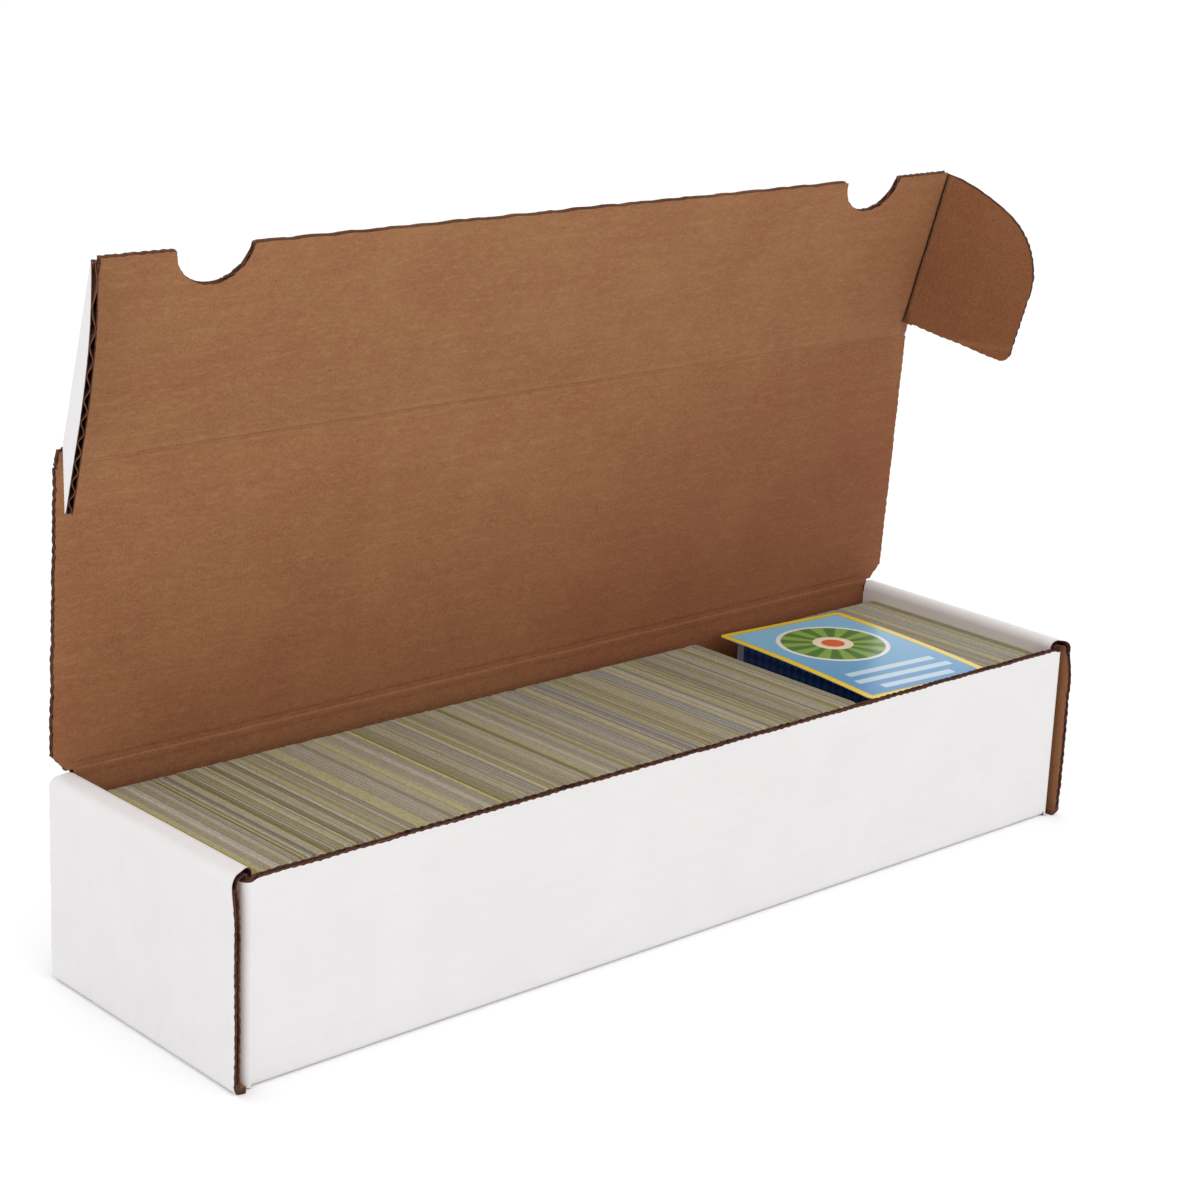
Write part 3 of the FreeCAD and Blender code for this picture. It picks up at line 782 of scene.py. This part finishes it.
def fluted_panel(node, name, place, on_rim, sheet_across=0.0):
    """A panel of board with open flutes: white liner, wave and kraft liner."""
    layers = []
    for side, coat in ((-1, WHITE), (1, KRAFT)):
        plate = liner_plate(node, f"{name}_{coat.name}", place, side)
        split_rim(plate, on_rim)
        if node == "front_flap":
            round_notches(plate)
        bite_rim(plate, on_rim)
        paint(plate, ((coat, lambda c, n: n.z * side > 0.25), (FLUTING_AND_GROOVE_SHADE, lambda c, n: n.z * side < -0.25),
                      (CUT, anywhere)))
        layers.append(plate)
    wave = flute_wave(node, f"{name}_wave", place, on_rim)
    paint(wave, ((FLUTING_AND_GROOVE_SHADE, anywhere),))
    layers.append(wave)
    for layer in layers:
        lay_sheet_map(layer, lambda p: p.x, lambda p: p.y + sheet_across)
    panel = join(layers, name)
    panel.data.transform(place)
    stand_for(panel, node)


def lid_and_flap():
    def lid_rim(p):
        return abs(p.x) > LID_END and HALF < p.y < LID_DEPTH - BOARD

    def flap_rim(p):
        return p.y > 2 * BOARD

    fluted_panel("lid_panel", "lid_board", PLACES["lid"], lid_rim)
    fluted_panel("front_flap", "flap_board", PLACES["flap"], flap_rim, LID_DEPTH)
    for side, sign in SIDES:
        def ear_rim(p):
            return p.x * sign > 2 * BOARD

        fluted_panel(f"{side}_ear", f"{side}_ear_board", PLACES[side], ear_rim, LID_DEPTH)


# ---------------------------------------------------------------- creases

def bell(off, width):
    """1 in the middle, falling away over the width to both sides."""
    return math.exp(-(off / width) ** 2)


def crease_height(x, y, side, bumps, wander):
    """How far the strip's face is from the middle of the board: bumps on the liner, sunk at both edges."""
    sink = CREASE_SINK * max(0.0, abs(y) / CREASE_REACH - CREASE_LEVEL) / (1 - CREASE_LEVEL)
    raised = sum(high * MM * bell(y - wander - mid * MM, wide * MM) for mid, wide, high in bumps)
    raised *= max(0.0, 1 - (y / CREASE_REACH) ** 4)
    rough = CREASE_ROUGH * noise.noise(Vector((x, y * 3, side)) * 180)
    return side * (HALF + CREASE_LIFT - sink + raised + rough)


def crease_strip(name, turn, start, end, side, profile, coat, sheet_across):
    """Strip of liner over a crease. In the first panel's frame, X runs along the crease and Y across it.

    turn is the angle at rest from the first panel to the second, side is +1 on the kraft face and -1 on the
    white one, and profile holds the crease's bumps and its line of painted shade and wear.
    """
    bumps, (line_middle, line_width, darkness) = profile
    length = end - start
    strip = add_grid(name, max(2, int(length / CREASE_STEP)), CREASE_ROWS)
    shade_and_wear = strip.data.attributes.new("crease_shade_and_wear", "FLOAT", "POINT")
    for vert in strip.data.vertices:
        x = start + (vert.co.x + 0.5) * length
        y = vert.co.y * 2 * CREASE_REACH
        part = min(1.0, max(0.0, (y + CREASE_BEND) / (2 * CREASE_BEND)))
        angle = turn * part * part * (3 - 2 * part)
        wander = CREASE_WANDER * noise.noise(Vector((x * 60, side, 0)))
        height = crease_height(x, y, side, bumps, wander)
        patchy = 0.7 + 0.6 * noise.noise(Vector((x * 150, y * 400, side)))
        # the line along the crease is painted shade in the fold, with some wear
        shade_and_wear.data[vert.index].value = darkness * patchy * bell(y - wander - line_middle * MM, line_width * MM)
        vert.co = (x, y * math.cos(angle) - height * math.sin(angle),
                   y * math.sin(angle) + height * math.cos(angle))
    lay_sheet_map(strip, lambda p: p.x, lambda p: p.y + sheet_across)
    if side < 0:
        edit_all(strip)
        bpy.ops.mesh.flip_normals()
        end_edit()
    apply_modifier(strip, "SOLIDIFY", thickness=CREASE_SKIN, offset=-1)
    paint(strip, ((coat, lambda c, n: n.z * side > 0), (FLUTING_AND_GROOVE_SHADE, anywhere)))
    activate(strip)
    bpy.ops.object.shade_smooth()
    return strip


def bend_between(strip, place):
    """Lay a strip in place over the bend between the two panels that it joins."""
    strip.data.transform(place)
    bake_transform(strip)


def part_between(strip, place, turn, groove, first, second):
    """Part a strip along the middle of its bend. Each half stays on its own panel, clear of the other."""
    across = Vector((0, math.cos(turn / 2), math.sin(turn / 2)))
    whole = strip.name
    other = strip.copy()
    other.data = strip.data.copy()
    bpy.context.scene.collection.objects.link(other)
    for half, body, way in ((strip, first, -1), (other, second, 1)):
        half.name = f"{whole}_on_{body}"
        keep_beyond(half, across * way * groove, across * way)
        half.data.transform(place)
        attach(half, body)


def crease_bead(name, place, turn, start, end, sheet_across):
    """The round of board inside an ear's crease, which closes the bend at every angle of the ear."""
    deselect()
    bpy.ops.mesh.primitive_cylinder_add(vertices=BEAD_SIDES, radius=BEAD, depth=end - start - 2 * BEAD_SHORT,
                                        location=((start + end) / 2, 0, 0), rotation=(0, math.pi / 2, 0))
    bead = bpy.context.object
    bead.name = name
    bpy.ops.object.transform_apply(location=True, rotation=True, scale=True)
    kraft_way = Vector((0, -math.sin(turn / 2), math.cos(turn / 2)))
    # painted shade: the bead darkens on its kraft side, as the shadow in the crease's groove, with some wear
    shade_and_wear = bead.data.attributes.new("crease_shade_and_wear", "FLOAT", "POINT")
    for vert in bead.data.vertices:
        off = Vector((0, vert.co.y, vert.co.z)).angle(kraft_way)
        shade_and_wear.data[vert.index].value = BEAD_SHADE_AND_WEAR * bell(off, math.radians(30))
    lay_sheet_map(bead, lambda p: p.x, lambda p: p.y + sheet_across)
    paint(bead, ((CUT, lambda c, n: abs(n.x) > 0.9), (KRAFT, lambda c, n: n.dot(kraft_way) > 0),
                 (WHITE, anywhere)))
    smooth(bead, 40)
    bead.data.transform(place)
    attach(bead, "flap")


def hinge_crease(side, word, coat):
    turn = LID_TURN - math.pi / 2
    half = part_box("back_wall")[1].x - HINGE_SHORT
    strip = crease_strip(f"hinge_crease_{word}", turn, -half, half, side, HINGE_CREASE[side], coat, 0.0)
    bend_between(strip, at_joint("lid_hinge", math.pi / 2))


def front_crease(side, word, coat):
    turn = FLAP_TURN - LID_TURN
    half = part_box("lid_panel")[1].x - FRONT_SHORT
    strip = crease_strip(f"front_crease_{word}", turn, -half, half, side, FRONT_CREASE, coat, LID_DEPTH)
    bend_between(strip, at_joint("flap_crease", LID_TURN))


def ear_crease(ear, sign, side, word, coat):
    """The strip's X runs up the ear's crease, and its Y out to the ear."""
    name = f"{ear}_ear_crease"
    place = at_joint(name, FLAP_TURN) @ Matrix.Rotation(-sign * math.pi / 2, 4, "Z")
    foot, top = EAR_CREASE_SPAN[side]
    start, end = (-top, -foot) if sign > 0 else (foot, top)
    strip = crease_strip(f"{name}_{word}", EAR_TURN[ear], start, end, side, EAR_CREASE[side], coat, LID_DEPTH)
    closes, opens = JOINTS[name]["range_deg"]
    groove = -closes * CLOSING_GROOVE if side > 0 else opens * OPENING_GROOVE
    part_between(strip, place, EAR_TURN[ear], groove, "flap", f"{ear}_ear")
    if side > 0:
        crease_bead(f"{name}_bead", place, EAR_TURN[ear], start, end, LID_DEPTH)


def creases():
    for side, word, coat in ((1, "inner", KRAFT), (-1, "outer", WHITE)):
        hinge_crease(side, word, coat)
        front_crease(side, word, coat)
        for ear, sign in SIDES:
            ear_crease(ear, sign, side, word, coat)


# ---------------------------------------------------------------- tray

def cut_once(piece, axis, place):
    """Cut a piece through at a place along an axis."""
    point, normal = [0.0, 0.0, 0.0], [0.0, 0.0, 0.0]
    point[axis], normal[axis] = place, 1.0
    edit_all(piece)
    bpy.ops.mesh.bisect(plane_co=point, plane_no=normal)
    end_edit()


def cut_across(piece, axis, spacing, low, high):
    """Cut a piece into even steps along an axis, so that its rims can be uneven."""
    count = int((high - low) / spacing)
    for step in range(1, count):
        cut_once(piece, axis, low + (high - low) * step / count)


def open_rim(piece, test, depth=GROOVE, ribbon=True, lip=LINER):
    """Open a cut edge: two liners, a groove between them and the edge of the fluting in the groove."""
    start_edit(piece)
    pick_faces(piece, test)
    form = bmesh.from_edit_mesh(piece.data)
    normal = sum((f.normal * f.calc_area() for f in form.faces if f.select), Vector())
    axis = max(range(3), key=lambda a: abs(normal[a]))
    normal = Vector([math.copysign(1.0, normal[a]) if a == axis else 0.0 for a in range(3)])
    bpy.ops.mesh.inset(thickness=lip, use_even_offset=True)
    bpy.ops.mesh.extrude_region_move(TRANSFORM_OT_translate={"value": tuple(-normal * depth)})
    # the groove's walls get the last material, the darker fluting paper, partly as painted shade in the groove
    piece.active_material_index = len(piece.data.materials) - 1
    bpy.ops.object.material_slot_assign()
    if ribbon:
        bpy.ops.mesh.inset(thickness=(BOARD - 2 * lip - MEDIUM) / 2, use_even_offset=True)
        rise = tuple(normal * (depth - RIBBON_DEPTH))
        bpy.ops.mesh.extrude_region_move(TRANSFORM_OT_translate={"value": rise})
    end_edit()


def coat_inner_rim(piece, test):
    """The kraft liner's own edge is torn and paler than the crushed layers beside it."""
    cut = piece.data.materials.find(CUT.name)
    piece.data.materials.append(TORN)
    for face in piece.data.polygons:
        if face.material_index == cut and test(face.center, face.normal):
            face.material_index = len(piece.data.materials) - 1


def bite_edge(piece, test, axis, way, along):
    """The teeth of the cutting rule leave shallow bites in an edge that faces way along axis."""
    for vert in piece.data.vertices:
        if test(vert.co):
            vert.co[axis] -= way * bite(vert.co, vert.co[along])


def tray_piece(node, white, kraft, name=None):
    """A tray panel: white and kraft where their tests of centre and normal pass, and cut board elsewhere.

    Its last material is for the inside of the edges that open_rim opens.
    """
    piece = cad_copy(node, name or f"{node}_board", Matrix())
    paint(piece, ((WHITE, white), (KRAFT, kraft), (CUT, anywhere), (FLUTING_AND_GROOVE_SHADE, anywhere)))
    return piece


def finish_tray_piece(piece, node, along, across):
    lay_sheet_map(piece, along, across)
    smooth(piece, 32)
    stand_for(piece, node)


def bottom():
    piece = tray_piece("bottom_panel", lambda c, n: n.z < -0.9, lambda c, n: n.z > 0.9, "bottom_board")
    finish_tray_piece(piece, "bottom_panel", lambda p: p.x, lambda p: p.y)


def long_wall(node, way):
    """The front (-1) or the back (+1) wall, with its rim open and slanted down to the outside."""
    low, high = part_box(node)
    rim = high.z
    inner = abs(low.y if way > 0 else high.y)

    def is_cut(c, n):
        return abs(n.x) > 0.3 or (n.z > 0.6 and c.z > rim / 2)

    def is_white(c, n):
        return not is_cut(c, n) and (n.y * way > 0.05 or n.z < -0.05)

    piece = tray_piece(node, is_white, lambda c, n: not is_cut(c, n))
    open_rim(piece, lambda c, n: n.z > 0.9 and c.z > rim - TOUCH)
    cut_across(piece, 0, RIM_STEP, low.x + BEND_CLEAR, high.x - BEND_CLEAR)
    bite_edge(piece, lambda p: p.z > rim - NEAR_RIM, 2, 1, 0)
    for vert in piece.data.vertices:
        if vert.co.z > rim - SLANT_DEPTH:
            vert.co.z -= RIM_SLANT * (abs(vert.co.y) - inner) / BOARD
    finish_tray_piece(piece, node, lambda p: p.x, lambda p: p.z + abs(p.y))


def side_tab(node, sign, way):
    """The tab at an end of a long wall, held between the two layers of an end wall."""
    def is_cut(c, n):
        return abs(n.z) > 0.5 or (n.y * way < -0.9 and abs(c.y) < TAB_END)

    def is_white(c, n):
        return not is_cut(c, n) and (n.x * sign > 0.05 or n.y * way > 0.05)

    piece = tray_piece(node, is_white, lambda c, n: not is_cut(c, n))
    finish_tray_piece(piece, node, lambda p: p.y, lambda p: p.z)


def outer_end(node, sign):
    """The outer layer of an end wall, with both upright edges open."""
    low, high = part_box(node)
    start = low.z + BEND_CLEAR
    kraft_side = abs(low.x + high.x) / 2 - BOARD / 4

    def is_cut(c, n):
        return abs(n.y) > 0.5 or n.z > 0.9

    def is_white(c, n):
        return not is_cut(c, n) and (n.x * sign > 0.05 or n.z < -0.05)

    piece = tray_piece(node, is_white, lambda c, n: not is_cut(c, n))
    cut_once(piece, 2, start)
    for way in (-1, 1):
        open_rim(piece, lambda c, n: n.y * way > 0.9 and c.z > start, lip=TORN_LIP)
    cut_across(piece, 2, RIM_STEP, start, high.z - BEND_CLEAR)
    for way in (-1, 1):
        bite_edge(piece, lambda p: p.y * way > high.y - NEAR_RIM, 1, way, 2)
    coat_inner_rim(piece, lambda c, n: abs(n.y) > 0.4 and c.z > start and abs(c.x) < kraft_side)
    finish_tray_piece(piece, node, lambda p: p.z, lambda p: p.y)


def rolled_top(node, sign):
    """The strip that rolls over an end wall, hollow at both ends."""
    low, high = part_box(node)
    middle = abs(low.x + high.x) / 2

    def is_white(c, n):
        outer = n.x * sign > 0.9 and abs(c.x) > middle
        inner = n.x * sign < -0.9 and abs(c.x) < middle - ROLL_INNER
        return n.z > 0.02 or outer or inner

    piece = cad_copy(node, f"{node}_board", Matrix())
    paint(piece, ((CUT, lambda c, n: abs(n.y) > 0.7), (WHITE, is_white), (KRAFT, anywhere),
                  (FLUTING_AND_GROOVE_SHADE, anywhere)))
    for way in (-1, 1):
        open_rim(piece, lambda c, n: n.y * way > 0.7, HOLLOW, ribbon=False)
    finish_tray_piece(piece, node, lambda p: p.z + abs(p.x), lambda p: p.y)


def inner_end(node, sign):
    piece = tray_piece(node, lambda c, n: n.x * sign < -0.9, lambda c, n: n.x * sign > 0.9)
    finish_tray_piece(piece, node, lambda p: p.z, lambda p: p.y)


def tray():
    bottom()
    for row, way in ROWS:
        long_wall(f"{row}_wall", way)
    for side, sign in SIDES:
        for row, way in ROWS:
            side_tab(f"{row}_{side}_tab", sign, way)
    for side, sign in SIDES:
        outer_end(f"{side}_outer_end", sign)
        rolled_top(f"{side}_rolled_top", sign)
        inner_end(f"{side}_inner_end", sign)


# ---------------------------------------------------------------- cards

def card_model(low, high, backs):
    """One card standing on a long edge, its middle at X = 0, its corners rounded."""
    deselect()
    bpy.ops.mesh.primitive_cube_add(size=1, location=(0, 0, 0))
    card = bpy.context.object
    size = Matrix.Diagonal((CARD_THICK * CARD_PART, high.y - low.y, high.z - low.z, 1))
    card.data.transform(Matrix.Translation((0, (low.y + high.y) / 2, (low.z + high.z) / 2)) @ size)
    start_edit(card, "EDGE")
    pick_edges(card, lambda edge: abs(edge.verts[0].co.x - edge.verts[1].co.x) > CARD_THICK / 2)
    bpy.ops.mesh.bevel(offset=CARD_CORNER, segments=3, affect="EDGES")
    end_edit()
    paint(card, ((backs, lambda c, n: abs(n.x) > 0.9), (CARD_EDGE, anywhere)))
    return card


def shade_card(card, tone):
    """Give a card's edges their shade, from 0 to 1."""
    for value in card.data.attributes.new("card_tone", "FLOAT", "FACE").data:
        value.value = tone


def card_runs(count, chance):
    """Shade, slide and rise of each card. Cards of one kind stand together in short runs."""
    often = [kind[0] for kind in CARD_KINDS]
    cards = []
    while len(cards) < count:
        _, mean, low, high = chance.choices(CARD_KINDS, often)[0]
        centre = chance.uniform(low, high)
        slide = -abs(chance.gauss(0, 0.38)) * MM
        rise = chance.uniform(0.0, 0.16) * MM
        length = max(1, int(chance.expovariate(1 / mean))) if mean > 1 else 1
        for _ in range(length):
            tone = min(high, max(low, centre + chance.gauss(0, 0.06)))
            forward = abs(chance.gauss(0, 0.12)) * MM
            up = chance.uniform(-0.04, 0.10) * MM
            cards.append((tone, slide - forward, rise + up))
    return cards[:count]


def card_bundles():
    low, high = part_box("left_cards_1")
    middle = (0.0, (low.y + high.y) / 2, (low.z + high.z) / 2)
    # a card's short side stands up, so that its long side runs along Y
    backs = card_back("card_back_upright", middle, (0.0, math.radians(90), 0.0))
    model = card_model(low, high, backs)
    chance = random.Random(CARD_SEED)
    for node in sorted(n for n in frame["nodes"] if "_cards_" in n):
        low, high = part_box(node)
        count = int((high.x - low.x) / CARD_THICK)
        pitch = (high.x - low.x) / count
        cards = []
        for number, (tone, slide, rise) in enumerate(card_runs(count, chance)):
            card = add_object(f"{node}_card", model.data.copy())
            card.data.transform(Matrix.Translation((low.x + pitch * (number + 0.5), slide, rise)))
            shade_card(card, tone)
            cards.append(card)
        stand_for(join(cards, f"{node}_stack"), node)
    bpy.data.objects.remove(model)


def loose_card():
    """A card that lies face up on the bundles, a little askew and bowed."""
    low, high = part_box("loose_card")
    centre = (low + high) / 2
    flat = Matrix.Translation(centre) @ Matrix.Rotation(LOOSE_TURN, 4, "Z")
    card = cad_copy("loose_card", "loose_card_print", flat)
    for axis in (0, 1):
        cut_across(card, axis, CARD_STEP, -CARD_HALF_LONG, CARD_HALF_LONG)
    for vert in card.data.vertices:
        vert.co.z += CARD_BOW * (1 - (vert.co.y / CARD_HALF_LONG) ** 2) + CARD_REST
    back_turn = (0.0, 0.0, -LOOSE_TURN)
    face = card_face(tuple(centre), back_turn)
    back = card_back("card_back_flat", tuple(centre), back_turn)
    paint(card, ((face, lambda c, n: n.z > 0.5), (back, lambda c, n: n.z < -0.5), (CARD_EDGE, anywhere)))
    shade_card(card, 0.5)
    card.data.transform(flat)
    smooth(card, 30)
    stand_for(card, "loose_card")


# ---------------------------------------------------------------- stage

def stage():
    deselect()
    bpy.ops.mesh.primitive_plane_add(size=12, location=(0, 0, -FLOOR_DROP))
    floor = bpy.context.object
    floor.name = "floor"
    material, _, shader = new_material("floor_white", 0.9, 0.1)
    fill(shader, {"Base Color": (0.97, 0.97, 0.97, 1)})
    floor.data.materials.append(material)


def light(name, place, size, power):
    lamp = bpy.data.lights.new(name, "AREA")
    lamp.size = size
    lamp.energy = power
    holder = add_object(name, lamp)
    holder.location = place
    holder.rotation_euler = (LIT_SPOT - Vector(place)).to_track_quat("-Z", "Y").to_euler()


def lights():
    world = bpy.data.worlds.new("studio")
    world.use_nodes = True
    fill(world.node_tree.nodes["Background"], {"Color": (1.0, 1.0, 1.0, 1), "Strength": ROOM_LIGHT})
    bpy.context.scene.world = world
    light("key", (-0.5, -0.8, 2.2), 1.4, 7)
    light("fill", (1.5, -1.2, 1.2), 1.4, 2)


def camera():
    ahead = Vector((-math.sin(AZIMUTH) * math.cos(ELEVATION), math.cos(AZIMUTH) * math.cos(ELEVATION),
                    -math.sin(ELEVATION)))
    level = ahead.cross(Vector((0, 0, 1))).normalized()
    upright = level.cross(ahead)
    right = math.cos(ROLL) * level + math.sin(ROLL) * upright
    up = -math.sin(ROLL) * level + math.cos(ROLL) * upright
    turn = Matrix((right, up, -ahead)).transposed().to_4x4()
    data = bpy.data.cameras.new("camera")
    data.lens = LENS
    data.sensor_width = SENSOR
    data.shift_x, data.shift_y = SHIFT
    data.clip_end = CLIP_END
    holder = add_object("camera", data)
    holder.matrix_world = Matrix.Translation(LOOK_AT - ahead * LOOK_FROM_DISTANCE) @ turn
    bpy.context.scene.camera = holder


camera()
stage()
lights()
bpy.context.scene.view_settings.view_transform = "Standard"
lid_and_flap()
creases()
tray()
card_bundles()
loose_card()
